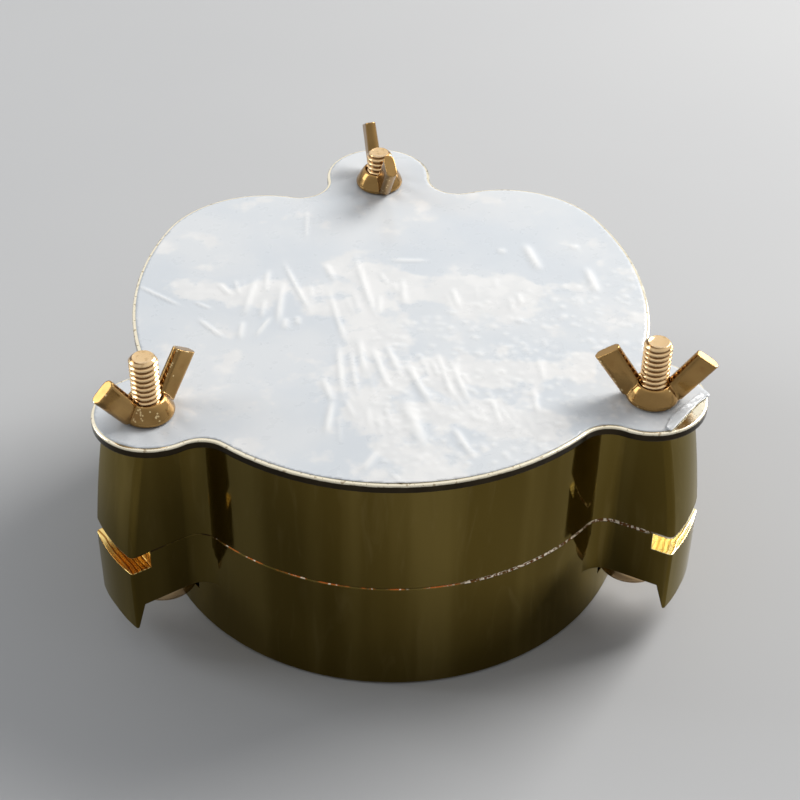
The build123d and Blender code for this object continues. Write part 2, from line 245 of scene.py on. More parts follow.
class Finish:
    """A material's node tree, with short calls for what the finishes share."""

    def __init__(self, name, **values):
        self.material = bpy.data.materials.new(name)
        self.material.use_nodes = True
        self.tree = self.material.node_tree
        self.surface = self.tree.nodes["Principled BSDF"]
        for socket, value in values.items():
            self.surface.inputs[socket.replace("_", " ")].default_value = value
        self.place = self.add("ShaderNodeTexCoord").outputs["Object"]

    def add(self, kind, **settings):
        """A new node."""
        node = self.tree.nodes.new(kind)
        for key, value in settings.items():
            setattr(node, key, value)
        return node

    def feed(self, source, target):
        """Links an output, or sets a plain value."""
        if isinstance(source, bpy.types.NodeSocket):
            self.tree.links.new(source, target)
        else:
            target.default_value = source

    def noise(self, scale, detail=3.0, stretch=(1, 1, 1), distortion=0.0):
        """Noise between 0 and 1, in features per metre, finer along the stretched axes."""
        mapping = self.add("ShaderNodeMapping")
        mapping.inputs["Scale"].default_value = stretch
        self.feed(self.place, mapping.inputs["Vector"])
        texture = self.add("ShaderNodeTexNoise")
        texture.inputs["Scale"].default_value = scale
        texture.inputs["Detail"].default_value = detail
        texture.inputs["Distortion"].default_value = distortion
        self.feed(mapping.outputs["Vector"], texture.inputs["Vector"])
        return texture.outputs["Fac"]

    def math(self, operation, first, second=0.0, clamp=False):
        """One sum on two values."""
        node = self.add("ShaderNodeMath", operation=operation, use_clamp=clamp)
        self.feed(first, node.inputs[0])
        self.feed(second, node.inputs[1])
        return node.outputs[0]

    def span(self, value, low, high, to_low=0.0, to_high=1.0):
        """A value mapped smoothly from one range to another."""
        node = self.add("ShaderNodeMapRange", interpolation_type="SMOOTHSTEP")
        self.feed(value, node.inputs["Value"])
        ends = {"From Min": low, "From Max": high, "To Min": to_low, "To Max": to_high}
        for socket, number in ends.items():
            node.inputs[socket].default_value = number
        return node.outputs["Result"]

    def mix(self, factor, first, second):
        """Two colours mixed."""
        node = self.add("ShaderNodeMix", data_type="RGBA")
        self.feed(factor, node.inputs["Factor"])
        self.feed(first, node.inputs["A"])
        self.feed(second, node.inputs["B"])
        return node.outputs["Result"]

    def axis(self, direction):
        """Distance along a direction from the origin."""
        node = self.add("ShaderNodeVectorMath", operation="DOT_PRODUCT")
        self.feed(self.place, node.inputs[0])
        node.inputs[1].default_value = direction
        return node.outputs["Value"]

    def bump(self, height, distance, strength=1.0, normal=None):
        """Fine relief in metres."""
        node = self.add("ShaderNodeBump")
        node.inputs["Distance"].default_value = distance
        node.inputs["Strength"].default_value = strength
        self.feed(height, node.inputs["Height"])
        if normal is not None:
            self.feed(normal, node.inputs["Normal"])
        return node.outputs["Normal"]

    def soft_edges(self, radius):
        """Edges that shade as if they were rounded."""
        node = self.add("ShaderNodeBevel", samples=6)
        node.inputs["Radius"].default_value = radius
        return node.outputs["Normal"]

    def paint(self, color=None, roughness=None, normal=None):
        """Feeds the surface."""
        for source, socket in ((color, "Base Color"), (roughness, "Roughness"), (normal, "Normal")):
            if source is not None:
                self.feed(source, self.surface.inputs[socket])
        return self.material


def body_brass():
    """Mirror-polished casting: faint waves, wipe marks, painted reflection streaks, a rough seam with painted
    glints on its line, and bright machined slots with painted light and shade.
    """
    finish = Finish("body_brass", Metallic=1.0, Specular_Tint=(0.93, 0.88, 0.70, 1))
    sideways = finish.axis((1 / MM, 0, 0))
    height = finish.axis((0, 0, 1 / MM))
    patches = finish.noise(38, 4, (1, 1, 0.5))
    color = finish.mix(patches, (0.088, 0.058, 0.010, 1), (0.140, 0.098, 0.022, 1))
    # Painted reflection: soft vertical streaks of paler brass on the walls.
    painted_reflection_streaks = finish.span(finish.noise(70, 3, (1, 1, 0.06)), 0.42, 0.66)
    color = finish.mix(finish.math("MULTIPLY", painted_reflection_streaks, 0.5), color, (0.23, 0.17, 0.05, 1))
    wipes = finish.span(finish.noise(260, 6, (1, 1, 0.18), 1.2), 0.52, 0.75)
    color = finish.mix(finish.math("MULTIPLY", wipes, 0.2), color, (0.24, 0.18, 0.07, 1))

    from_seam = finish.math("ABSOLUTE", finish.math("SUBTRACT", height, SEAM_Z))
    near_seam = finish.span(from_seam, 0.60, 0.25)
    hairline = finish.span(from_seam, 0.30, 0.10)
    at_front = finish.span(finish.axis((0, -1 / MM, 0)), 5, 12)
    on_right = finish.math("MULTIPLY", finish.span(sideways, 7, 15), at_front)
    specks = finish.span(finish.noise(1300, 4), 0.44, 0.54)
    rough_color = finish.mix(specks, (0.16, 0.065, 0.02, 1), (0.95, 0.84, 0.68, 1))
    broken = finish.span(finish.noise(240, 3), 0.38, 0.52)
    on_left = finish.math("MULTIPLY", finish.math("SUBTRACT", 1.0, on_right), broken)
    # Painted glints: orange and pale specks on the seam line at the front stand in for highlights; further
    # back the line stays a dark joint.
    painted_seam_glints = finish.span(finish.noise(1100, 3), 0.56, 0.62)
    painted_glint_colors = finish.mix(painted_seam_glints, (0.58, 0.17, 0.035, 1), (0.98, 0.84, 0.66, 1))
    past_root = finish.math("MULTIPLY", finish.span(sideways, -44, -37), at_front)
    line_color = finish.mix(past_root, (0.03, 0.014, 0.006, 1), painted_glint_colors)
    color = finish.mix(finish.math("MULTIPLY", hairline, on_left), color, line_color)
    worn = finish.span(finish.noise(150, 2), 0.36, 0.50)
    rough_seam = finish.math("MULTIPLY", finish.math("MULTIPLY", near_seam, on_right), worn)
    color = finish.mix(rough_seam, color, rough_color)

    reach = [finish.axis((cos(radians(a)) / MM, sin(radians(a)) / MM, 0)) for a in EAR_ANGLES.values()]
    furthest = finish.math("MAXIMUM", finish.math("MAXIMUM", reach[0], reach[1]), reach[2])
    outside = finish.math("GREATER_THAN", furthest, SLOT_BACK_REACH - 0.06)
    above = finish.math("GREATER_THAN", height, SLOT_BOTTOM_Z - 0.04)
    below = finish.math("LESS_THAN", height, SEAM_Z + 0.04)
    in_slot = finish.math("MULTIPLY", finish.math("MULTIPLY", outside, above), below)
    cutter = finish.math("MULTIPLY", furthest, CUTTER_MARKS)
    cutter = finish.math("ADD", cutter, finish.math("MULTIPLY", finish.noise(90, 2), 14.0))
    stripes = finish.span(finish.math("SINE", cutter), -0.2, 0.9)
    # Painted light and shade: the same machined marks are darker in the left ear's slot and paler in the
    # right ear's, the back ear in between.
    dark_marks_with_painted_side_light = finish.mix(finish.span(sideways, -5, 5), (0.36, 0.17, 0.035, 1), (0.72, 0.58, 0.30, 1))
    bright_marks_with_painted_side_light = finish.mix(finish.span(sideways, -5, 5), (0.90, 0.66, 0.24, 1), (0.98, 0.92, 0.66, 1))
    slot_color = finish.mix(stripes, bright_marks_with_painted_side_light, dark_marks_with_painted_side_light)
    color = finish.mix(in_slot, color, slot_color)

    haze = finish.noise(90, 5, (1, 1, 0.4))
    roughness = finish.span(haze, 0.3, 0.8, 0.05, 0.13)
    roughness = finish.math("ADD", roughness, finish.math("MULTIPLY", rough_seam, 0.35))
    roughness = finish.math("ADD", roughness, finish.math("MULTIPLY", in_slot, 0.2))
    normal = finish.soft_edges(0.35 * MM)
    normal = finish.bump(finish.noise(32, 1), 0.16 * MM, 0.7, normal)
    normal = finish.bump(finish.noise(2600, 5, (1, 1, 0.3)), 0.004 * MM, 0.5, normal)
    normal = finish.bump(finish.math("MULTIPLY", stripes, in_slot), 0.05 * MM, 0.6, normal)
    grit = finish.math("MULTIPLY", specks, rough_seam)
    normal = finish.bump(grit, 0.12 * MM, 0.8, normal)
    return finish.paint(color, roughness, normal)


def lid_brass():
    """Polished lid: painted shade on the side face, painted pale highlight along the top rim, tiny nicks in
    the rim.
    """
    finish = Finish("lid_brass", Metallic=1.0)
    height = finish.axis((0, 0, 1 / MM))
    # Painted highlight: pale cream along the top rim of the plate.
    rim = finish.mix(finish.noise(160, 4), (0.88, 0.78, 0.56, 1), (0.96, 0.89, 0.72, 1))
    nicks = finish.span(finish.noise(900, 3), 0.58, 0.66)
    rim = finish.mix(finish.math("MULTIPLY", nicks, 0.6), rim, (0.30, 0.20, 0.09, 1))
    # Painted shade: near-black colour on the side face of the plate, below the rim.
    side = finish.mix(finish.noise(240, 4, (1, 1, 0.2)), (0.016, 0.012, 0.008, 1), (0.05, 0.037, 0.02, 1))
    low = finish.math("ADD", height, finish.math("MULTIPLY", finish.noise(300, 3), 0.25))
    color = finish.mix(finish.span(low, LID_TOP_Z - 0.44, LID_TOP_Z - 0.18), side, rim)
    roughness = finish.span(finish.noise(300, 4), 0.3, 0.7, 0.10, 0.24)
    normal = finish.bump(finish.noise(700, 4), 0.02 * MM, 0.5, finish.soft_edges(0.3 * MM))
    return finish.paint(color, roughness, normal)


def turned_brass():
    """Ejector plate: turned rings."""
    finish = Finish("turned_brass", Metallic=1.0)
    rings = finish.add("ShaderNodeTexWave", wave_type="RINGS", rings_direction="Z")
    rings.inputs["Scale"].default_value = 380
    rings.inputs["Distortion"].default_value = 0.4
    finish.feed(finish.place, rings.inputs["Vector"])
    color = finish.mix(finish.noise(60, 4), (0.58, 0.42, 0.15, 1), (0.74, 0.56, 0.26, 1))
    normal = finish.bump(rings.outputs["Fac"], 0.02 * MM, 0.6)
    roughness = finish.span(finish.noise(120, 3), 0.3, 0.7, 0.18, 0.32)
    return finish.paint(color, roughness, normal)


def bolt_brass():
    """Rolled thread and turned end: bright rose gold, with painted shade darkening the thread roots."""
    finish = Finish("bolt_brass", Metallic=1.0)
    root = finish.add("ShaderNodeAttribute", attribute_name="root").outputs["Fac"]
    color = finish.mix(finish.noise(220, 4), (0.76, 0.50, 0.24, 1), (0.90, 0.66, 0.38, 1))
    # Painted shade: the thread roots are darkened by their depth share.
    color = finish.mix(finish.span(root, 0.25, 0.85), color, (0.20, 0.10, 0.035, 1))
    spots = finish.span(finish.noise(700, 4), 0.56, 0.66)
    color = finish.mix(finish.math("MULTIPLY", spots, 0.35), color, (0.45, 0.27, 0.11, 1))
    roughness = finish.span(finish.noise(500, 4), 0.3, 0.7, 0.10, 0.24)
    normal = finish.bump(finish.noise(1800, 4), 0.015 * MM, 0.5)
    return finish.paint(color, roughness, normal)


def nut_brass():
    """Cast and tumbled wing nuts: bright gold with soft dents; the bright edges are part wear, part painted
    highlight.
    """
    finish = Finish("nut_brass", Metallic=1.0)
    # Bright edges and tips: partly rubbed wear, partly painted highlight.
    worn_edges_and_painted_highlight = finish.span(finish.add("ShaderNodeNewGeometry").outputs["Pointiness"], 0.53, 0.585)
    faces = finish.mix(finish.noise(170, 4), (0.25, 0.14, 0.042, 1), (0.46, 0.28, 0.105, 1))
    color = finish.mix(worn_edges_and_painted_highlight, faces, (0.90, 0.68, 0.36, 1))
    stains = finish.span(finish.noise(260, 5), 0.55, 0.70)
    color = finish.mix(finish.math("MULTIPLY", stains, 0.35), color, (0.26, 0.12, 0.04, 1))
    roughness = finish.span(finish.noise(420, 4), 0.3, 0.7, 0.11, 0.20)
    normal = finish.bump(finish.noise(240, 2), 0.10 * MM, 0.4)
    normal = finish.bump(finish.noise(1500, 3), 0.008 * MM, 0.4, normal)
    return finish.paint(color, roughness, normal)


def film_plastic():
    """Milky protective film: bluish where it clings to the lid, white where it hangs loose; creases and
    specks whitened partly as lifted film, partly by painted highlight.
    """
    finish = Finish("film_plastic", Metallic=0.0, IOR=1.45, Coat_Weight=0.3, Coat_Roughness=0.22)
    loose = finish.add("ShaderNodeAttribute", attribute_name="loose").outputs["Fac"]
    crease = finish.add("ShaderNodeAttribute", attribute_name="crease").outputs["Fac"]
    cloud = finish.noise(45, 4)
    clinging = finish.mix(finish.span(cloud, 0.35, 0.65), (0.625, 0.662, 0.700, 1), (0.685, 0.708, 0.728, 1))
    ragged = finish.math("ADD", finish.noise(150, 5), finish.noise(42, 3))
    share = finish.math("ADD", loose, finish.math("MULTIPLY", finish.math("SUBTRACT", ragged, 1.0), 2.7))
    flecks = finish.span(finish.noise(190, 4), 0.38, 0.62)
    lifted = finish.mix(flecks, (0.735, 0.74, 0.74, 1), (0.785, 0.785, 0.78, 1))
    color = finish.mix(finish.span(share, 0.25, 0.75), clinging, lifted)
    # Creases and specks whitened: partly the paler lifted film, partly painted highlight.
    color = finish.mix(finish.math("MULTIPLY", crease, 0.85, True), color, (0.86, 0.86, 0.85, 1))
    roughness = finish.span(finish.noise(300, 4), 0.3, 0.7, 0.26, 0.42)
    normal = finish.bump(finish.noise(380, 4), 0.05 * MM, 0.35)
    return finish.paint(color, roughness, normal)


def floor_paint():
    """Plain pale table top."""
    finish = Finish("floor_paint", Metallic=0.0)
    finish.surface.inputs["Specular IOR Level"].default_value = 0.1
    color = finish.mix(finish.noise(9, 3), (0.50, 0.505, 0.515, 1), (0.53, 0.535, 0.54, 1))
    return finish.paint(color, 0.8)


def bolt(name, place, top_z, material):
    """Carriage bolt with a rolled right-hand thread on the end that takes the nut."""
    around = 72
    rows_per_turn = 11
    step = THREAD_PITCH / rows_per_turn
    levels = np.append(np.arange(THREAD_START_Z, top_z, step), top_z)
    angles = np.linspace(0, tau, around, endpoint=False)
    level, angle = np.meshgrid(levels, angles, indexing="ij")
    phase = np.mod(level / THREAD_PITCH - angle / tau, 1)
    root = 1 - np.clip((np.abs(2 * phase - 1) - 0.12) / 0.7, 0, 1)
    root = root * np.clip((level - THREAD_START_Z) / THREAD_PITCH, 0, 1)
    radius = SHANK_R - THREAD_DEPTH * root
    radius = np.minimum(radius, SHANK_R - np.clip(level - (top_z - BOLT_TIP_BEVEL), 0, None))
    points = [
        (r * cos(a), r * sin(a), z)
        for r, a, z in zip(radius.ravel(), angle.ravel(), level.ravel())
    ]
    faces = ring_faces(len(levels), around)
    first_of_top = (len(levels) - 1) * around
    rim_r = float(radius[-1, 0])
    rim_start = len(points)
    for share, drop in ((0.93, 0.0), (0.90, 0.06), (0.45, 0.05), (0.1, 0.0)):
        points += [(share * rim_r * cos(a), share * rim_r * sin(a), top_z - drop) for a in angles]
    rings = [first_of_top + i for i in range(around)]
    for ring in range(4):
        start = rim_start + ring * around
        for i in range(around):
            j = (i + 1) % around
            faces.append((rings[i], rings[j], start + j, start + i))
        rings = [start + i for i in range(around)]
    faces.append(tuple(rings))
    shank = add_object(name, points, faces)
    depth = np.zeros(len(points), np.float32)
    depth[:root.size] = root.ravel()
    attribute = shank.data.attributes.new("root", "FLOAT", "POINT")
    attribute.data.foreach_set("value", depth)

    dome_height = HEAD_HEIGHT - HEAD_RIM
    dome_r = (HEAD_R ** 2 + dome_height ** 2) / (2 * dome_height)
    reach = np.linspace(0.02, 1, 24) * HEAD_R
    dome = [(r, EAR_BOTTOM_Z - HEAD_HEIGHT + dome_r - (dome_r ** 2 - r ** 2) ** 0.5) for r in reach]
    profile = dome + [(HEAD_R, EAR_BOTTOM_Z - 0.15), (HEAD_R - 0.15, EAR_BOTTOM_Z), (SHANK_R, EAR_BOTTOM_Z)]
    profile.append((SHANK_R, THREAD_START_Z))
    points = [(r * cos(a), r * sin(a), z) for r, z in profile for a in angles]
    faces = ring_faces(len(profile), around) + [tuple(reversed(range(around)))]
    head = add_object(name + "_head", points, faces)
    half = NECK_WIDTH / 2
    neck_points = [(x, y, z) for z in (EAR_BOTTOM_Z, EAR_BOTTOM_Z + NECK_HEIGHT) for x, y in
                   ((-half, -half), (half, -half), (half, half), (-half, half))]
    neck = add_object(name + "_neck", neck_points, ring_faces(2, 4) + [(3, 2, 1, 0), (4, 5, 6, 7)], False)
    neck.data.transform(Matrix.Rotation(radians(EAR_ANGLES[name.replace("bolt_", "")]), 4, "Z"))
    piece = join_objects(name + "_threaded", [shank, head, neck])
    piece.data.transform(Matrix.Translation((place[0], place[1], 0)))
    piece.data.materials.clear()
    piece.data.materials.append(material)
    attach(piece, "flask")
    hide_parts(name)


def stadium(centre, across, size, count=20):
    """Ring of a slot-shaped section, long side across the blade."""
    length, thickness = size
    ring = []
    for side in (1, -1):
        for i in range(count):
            a = side * 90 - 180 * i / (count - 1)
            u = side * (length - thickness) / 2 + thickness / 2 * cos(radians(a))
            v = thickness / 2 * sin(radians(a))
            ring.append((centre[0] + u * across[0], v, centre[1] + u * across[1]))
    return ring


def blade(name, flip):
    """One blade of a wing nut as a closed loft."""
    rise = Vector((BLADE_TIP[0] - BLADE_ROOT[0], BLADE_TIP[1] - BLADE_ROOT[1])).normalized()
    across = (-rise.y, rise.x)
    rings = []
    steps = 6
    for i in range(steps + 1):
        share = i / steps
        centre = [BLADE_ROOT[k] + share * (BLADE_TIP[k] - BLADE_ROOT[k]) for k in (0, 1)]
        size = [BLADE_ROOT_SIZE[k] + share * (BLADE_TIP_SIZE[k] - BLADE_ROOT_SIZE[k]) for k in (0, 1)]
        rings.append(stadium(centre, across, size))
    columns = len(rings[0])
    points = [(flip * x, flip * y, z) for ring in rings for x, y, z in ring]
    faces = ring_faces(len(rings), columns)
    faces.append(tuple(range(columns))[::-1])
    faces.append(tuple(range((len(rings) - 1) * columns, len(rings) * columns)))
    return add_object(name, points, faces)


def wing_nut(name, place, turn, material):
    """Cast wing nut: hub and two blades grown together, with soft blends at the roots."""
    around = 96
    points = [
        (r * cos(tau * i / around), r * sin(tau * i / around), z)
        for r, z in HUB_SECTION for i in range(around)
    ]
    rows = len(HUB_SECTION)
    faces = ring_faces(rows, around)
    for i in range(around):
        j = (i + 1) % around
        last = (rows - 1) * around
        faces.append((last + i, last + j, j, i))
    hub = add_object(name + "_hub", points, faces)
    piece = join_objects(name + "_cast", [hub, blade(name + "_a", 1), blade(name + "_b", -1)])
    tidy = bmesh.new()
    tidy.from_mesh(piece.data)
    bmesh.ops.recalc_face_normals(tidy, faces=tidy.faces)
    tidy.to_mesh(piece.data)
    tidy.free()
    apply_modifier(piece, "REMESH", mode="VOXEL", voxel_size=NUT_VOXEL * MM, adaptivity=0.0)
    apply_modifier(piece, "SMOOTH", factor=0.5, iterations=NUT_SMOOTHING)
    for vertex in piece.data.vertices:
        reach = vertex.co.xy.length
        if reach < NUT_BORE_R * MM:
            vertex.co.xy *= NUT_BORE_R * MM / reach
    piece.data.shade_smooth()
    piece.data.transform(Matrix.Rotation(radians(turn), 4, "Z"))
    piece.data.transform(Matrix.Translation((place[0], place[1], NUT_SEAT_Z * MM)))
    piece.data.materials.clear()
    piece.data.materials.append(material)
    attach(piece, name.replace("wing_nut_", "") + "_wing_nut")
    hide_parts(name)


def film_outline():
    """Border loops of the CAD film's top face, in millimetres, outer loop first."""
    source = bmesh.new()
    source.from_mesh(frame["nodes"]["lid_film"].data)
    bmesh.ops.remove_doubles(source, verts=source.verts, dist=1e-6)
    top = [face for face in source.faces if face.normal.z > 0.9]
    edges = {}
    for face in top:
        for edge in face.edges:
            edges.setdefault(edge, []).append(face)
    border = [edge for edge, users in edges.items() if len(users) == 1]
    ahead = {}
    for edge in border:
        a, b = edge.verts
        ahead.setdefault(a, []).append(b)
        ahead.setdefault(b, []).append(a)
    loops = []
    left = set(ahead)
    while left:
        start = min(left, key=lambda vert: (round(vert.co.y, 6), round(vert.co.x, 6)))
        loop, previous, current = [start], None, start
        while True:
            following = [v for v in ahead[current] if v is not previous]
            previous, current = current, following[0]
            if current is start:
                break
            loop.append(current)
        left -= set(loop)
        loops.append([(v.co.x / MM, v.co.y / MM) for v in loop])
    source.free()
    return sorted(loops, key=len, reverse=True)


def resampled(loop, step):
    """A closed loop with points about a step apart."""
    points = []
    for start, end in zip(loop, loop[1:] + loop[:1]):
        gap = Vector(end) - Vector(start)
        count = max(1, round(gap.length / step))
        points += [tuple(Vector(start) + gap * i / count) for i in range(count)]
    return points


def spread(loop, reach):
    """A closed loop moved outwards."""
    area = sum(a[0] * b[1] - b[0] * a[1] for a, b in zip(loop, loop[1:] + loop[:1]))
    side = 1 if area > 0 else -1
    moved = []
    for before, point, after in zip(loop[-1:] + loop[:-1], loop, loop[1:] + loop[:1]):
        run = (Vector(after) - Vector(before)).normalized()
        moved.append((point[0] + side * reach * run.y, point[1] - side * reach * run.x))
    return moved


def inside_loop(loop, x, y):
    """Which points lie in a closed loop, by crossings."""
    inside = np.zeros(x.shape, bool)
    for (x1, y1), (x2, y2) in zip(loop, loop[1:] + loop[:1]):
        if y1 == y2:
            continue
        crosses = (y1 > y) != (y2 > y)
        inside ^= crosses & (x < (x2 - x1) * (y - y1) / (y2 - y1) + x1)
    return inside


def strip_distance(x, y, start, end):
    """Distance of points from a straight stretch."""
    run = np.array(end, float) - np.array(start, float)
    share = np.clip(((x - start[0]) * run[0] + (y - start[1]) * run[1]) / (run @ run), 0, 1)
    return np.hypot(x - start[0] - share * run[0], y - start[1] - share * run[1])


def camera_axes():
    """The camera's directions to the right, up and ahead."""
    ahead = (Vector(CAMERA_AIM) - Vector(CAMERA_PLACE)).normalized()
    level = ahead.cross(Vector((0, 0, 1))).normalized()
    upright = level.cross(ahead)
    roll = radians(CAMERA_ROLL)
    right = cos(roll) * level + sin(roll) * upright
    up = cos(roll) * upright - sin(roll) * level
    return right, up, ahead


def on_film(corner, reading):
    """Where a place read on a crop of the photograph lies on the film, in millimetres."""
    right, up, ahead = camera_axes()
    across = corner[0] + reading[0] / CROP_ZOOM - PHOTO_SIZE / 2
    down = corner[1] + reading[1] / CROP_ZOOM - PHOTO_SIZE / 2
    sight = ahead + (across * right - down * up) / CAMERA_FOCUS
    place = Vector(CAMERA_PLACE)
    return (place + sight * ((FILM_LEVEL - place.z) / sight.z)).xy


def long_blisters():
    """Centre, length, half width, direction and height of each, to whole millimetres and degrees."""
    found = list(OTHER_BLISTERS)
    for corner, readings in BLISTER_READINGS.items():
        for start, end, half_width, height in readings:
            first = on_film(corner, start)
            last = on_film(corner, end)
            middle = (first + last) / 2
            run = last - first
            turn = round(degrees(atan2(run.y, run.x)))
            found.append((round(middle.x), round(middle.y), round(run.length), half_width, turn, height))
    return found


def ridge(x, y, crease):
    """Height share of one long crease."""
    cx, cy, length, width, turn, _ = crease
    ahead = (cos(radians(turn)), sin(radians(turn)))
    along = (x - cx) * ahead[0] + (y - cy) * ahead[1]
    bow = 0.03 * along ** 2 / max(length, 1)
    beside = -(x - cx) * ahead[1] + (y - cy) * ahead[0] - bow
    return np.exp(-((2 * along / length) ** 4) - (beside / width) ** 2)


def film_relief(x, y):
    """Lift of the film in millimetres, how loose it is, and how much its creases and specks are whitened,
    partly as lifted film and partly as painted highlight.
    """
    chance = np.random.default_rng(5)
    loose = np.zeros_like(x)
    for start, end, width in LOOSE_BANDS:
        loose = np.maximum(loose, np.clip(1.25 - strip_distance(x, y, start, end) / width, 0, 1))
    lift = LOOSE_LIFT * loose
    crease_whitening_and_painted_highlight = np.zeros_like(x)
    creases = long_blisters()
    wanted = len(creases) + CREASE_COUNT
    while len(creases) < wanted:
        start, end, width = LOOSE_BANDS[chance.integers(1, len(LOOSE_BANDS))]
        share = chance.random()
        cx = start[0] + share * (end[0] - start[0]) + chance.normal() * width * 0.4
        cy = start[1] + share * (end[1] - start[1]) + chance.normal() * width * 0.4
        creases.append((
            cx, cy, chance.uniform(3, 9), chance.uniform(0.4, 0.8), -80 + chance.normal() * 9,
            chance.uniform(0.06, 0.18),
        ))
    for crease in creases:
        height = ridge(x, y, crease)
        lift = np.maximum(lift, LOOSE_LIFT * loose + crease[5] * height)
        crease_whitening_and_painted_highlight = np.maximum(crease_whitening_and_painted_highlight, height * min(1, crease[5] / 0.3))
    for _ in range(SPECK_COUNT):
        cx = chance.uniform(-6, 62)
        cy = chance.uniform(-54, 0.35 * cx - 2)
        size = chance.uniform(0.35, 0.9)
        tall = chance.uniform(0.03, 0.13)
        speck = np.exp(-(((x - cx) ** 2 + (y - cy) ** 2) / size ** 2))
        lift = lift + tall * speck
        crease_whitening_and_painted_highlight = np.maximum(crease_whitening_and_painted_highlight, 6 * tall * speck)
    for place in BOLT_PLACES.values():
        dx, dy = x - place[0] / MM, y - place[1] / MM
        away = np.hypot(dx, dy)
        waves = np.cos(9 * np.arctan2(dy, dx) + 3 * dx / 10)
        wrinkle = 0.10 * (1 + waves) * np.clip((away - 6.1) / 2, 0, 1)
        lift = lift + wrinkle * np.exp(-np.clip(away - 7, 0, None) / 4)
        lift = lift * np.clip((away - 5.7) / 1.2, 0, 1)
    return lift, loose, crease_whitening_and_painted_highlight


def torn_flap(start, run, outward):
    """Strip of film folded back over itself along the tear: its points and faces."""
    chance = np.random.default_rng(3)
    rows, columns = FLAP_STEPS
    points = []
    for row in range(rows):
        share = row / (rows - 1)
        width = FLAP_WIDTH * (0.55 + 0.45 * sin(radians(180 * share ** 0.7))) + chance.uniform(-0.08, 0.08)
        foot = start + run * (0.06 + 0.98 * share)
        for column in range(columns):
            inward = width * column / (columns - 1)
            crumple = 0.10 * sin(2.1 * row) * inward / width + 0.12 * sin(0.9 * row + 1.3 * column)
            height = LID_TOP_Z + 0.36 + 0.22 * (inward / width) ** 2 + crumple * 0.7
            points.append((foot.x - outward.x * inward, foot.y - outward.y * inward, height))
    return points, ring_faces(rows, columns, False)


def film_sheet(material):
    """The protective film: creased, blistered, torn off at the front of the right ear."""
    outline = spread(resampled(film_outline()[0], EDGE_STEP), FILM_SPREAD)
    low = np.min(outline, axis=0)
    high = np.max(outline, axis=0)
    xs, ys = np.meshgrid(np.arange(low[0], high[0], FILM_GRID), np.arange(low[1], high[1], FILM_GRID * 0.866))
    xs = xs + (np.arange(xs.shape[0]) % 2)[:, None] * FILM_GRID / 2
    chance = np.random.default_rng(11)
    xs, ys = xs.ravel(), ys.ravel()
    xs = xs + chance.uniform(-0.06, 0.06, xs.size)
    ys = ys + chance.uniform(-0.06, 0.06, ys.size)
    keep = inside_loop(outline, xs, ys)
    border_gap = np.full(xs.size, 9.0)
    for start, end in zip(outline, outline[1:] + outline[:1]):
        near = (np.abs(xs - start[0]) < 2) & (np.abs(ys - start[1]) < 2)
        border_gap[near] = np.minimum(border_gap[near], strip_distance(xs[near], ys[near], start, end))
    keep &= border_gap > BORDER_GAP
    grid = list(zip(xs[keep], ys[keep]))
    points = [Vector(point) for point in outline] + [Vector(point) for point in grid]
    count = len(outline)
    rim = [(i, (i + 1) % count) for i in range(count)]
    verts, _, faces, _, _, _ = delaunay_2d_cdt(points, rim, [], 1, 1e-5)
    x = np.array([v.x for v in verts])
    y = np.array([v.y for v in verts])

    run = Vector(TORN_LINE[1]) - Vector(TORN_LINE[0])
    outward = Vector((run.y, -run.x)).normalized()
    past_tear = (x - TORN_LINE[0][0]) * outward.x + (y - TORN_LINE[0][1]) * outward.y
    at_tear = np.abs(past_tear) < TEAR_SNAP
    x = np.where(at_tear, x - past_tear * outward.x, x)
    y = np.where(at_tear, y - past_tear * outward.y, y)
    past_tear = np.where(at_tear, 0, past_tear)
    holes_r = SHANK_R + HOLE_CLEARANCE
    kept = []
    for face in faces:
        cx, cy = x[list(face)].mean(), y[list(face)].mean()
        in_hole = any(
            (cx - p[0] / MM) ** 2 + (cy - p[1] / MM) ** 2 < holes_r ** 2 for p in BOLT_PLACES.values()
        )
        if not in_hole and past_tear[list(face)].max() <= 0:
            kept.append(tuple(face))

    lift, loose, crease_whitening_and_painted_highlight = film_relief(x, y)
    fold = np.exp(-((past_tear + 0.1) / 0.45) ** 2)
    lift = lift + 0.22 * fold
    tip = np.exp(-(((x - FILM_TIP[0]) ** 2 + (y - FILM_TIP[1]) ** 2) / 2.0 ** 2))
    x = x + 1.2 * tip
    y = y + 0.3 * tip
    nick = np.exp(-(((x - FILM_NICK[0]) ** 2 + (y - FILM_NICK[1]) ** 2) / 0.9 ** 2))
    x = x - 0.8 * nick
    z = LID_TOP_Z + FILM_GAUGE + lift
    points = np.column_stack([x, y, z]).tolist()
    flap, flap_faces = torn_flap(Vector(TORN_LINE[0]), run, outward)
    kept += [tuple(len(points) + index for index in face) for face in flap_faces]
    crease_whitening_and_painted_highlight = np.append(crease_whitening_and_painted_highlight, np.full(len(flap), 0.1))
    loose = np.append(loose, np.full(len(flap), 0.0))
    sheet = add_object("protective_film", points + flap, kept)
    for name, values in (("loose", loose), ("crease", crease_whitening_and_painted_highlight)):
        attribute = sheet.data.attributes.new(name, "FLOAT", "POINT")
        attribute.data.foreach_set("value", np.ascontiguousarray(values, np.float32))
    clean = bmesh.new()
    clean.from_mesh(sheet.data)
    bmesh.ops.delete(clean, geom=[v for v in clean.verts if not v.link_faces], context="VERTS")
    clean.to_mesh(sheet.data)
    clean.free()
    apply_modifier(sheet, "SOLIDIFY", thickness=FILM_GAUGE * MM, offset=-1.0)
    sheet.data.materials.append(material)
    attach(sheet, "flask")
    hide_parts("lid_film")


def dress_node(node, material):
    """Gives a CAD node its finish."""
    mesh = frame["nodes"][node].data
    if mesh.materials:
        for index in range(len(mesh.materials)):
            mesh.materials[index] = material
    else:
        mesh.materials.append(material)


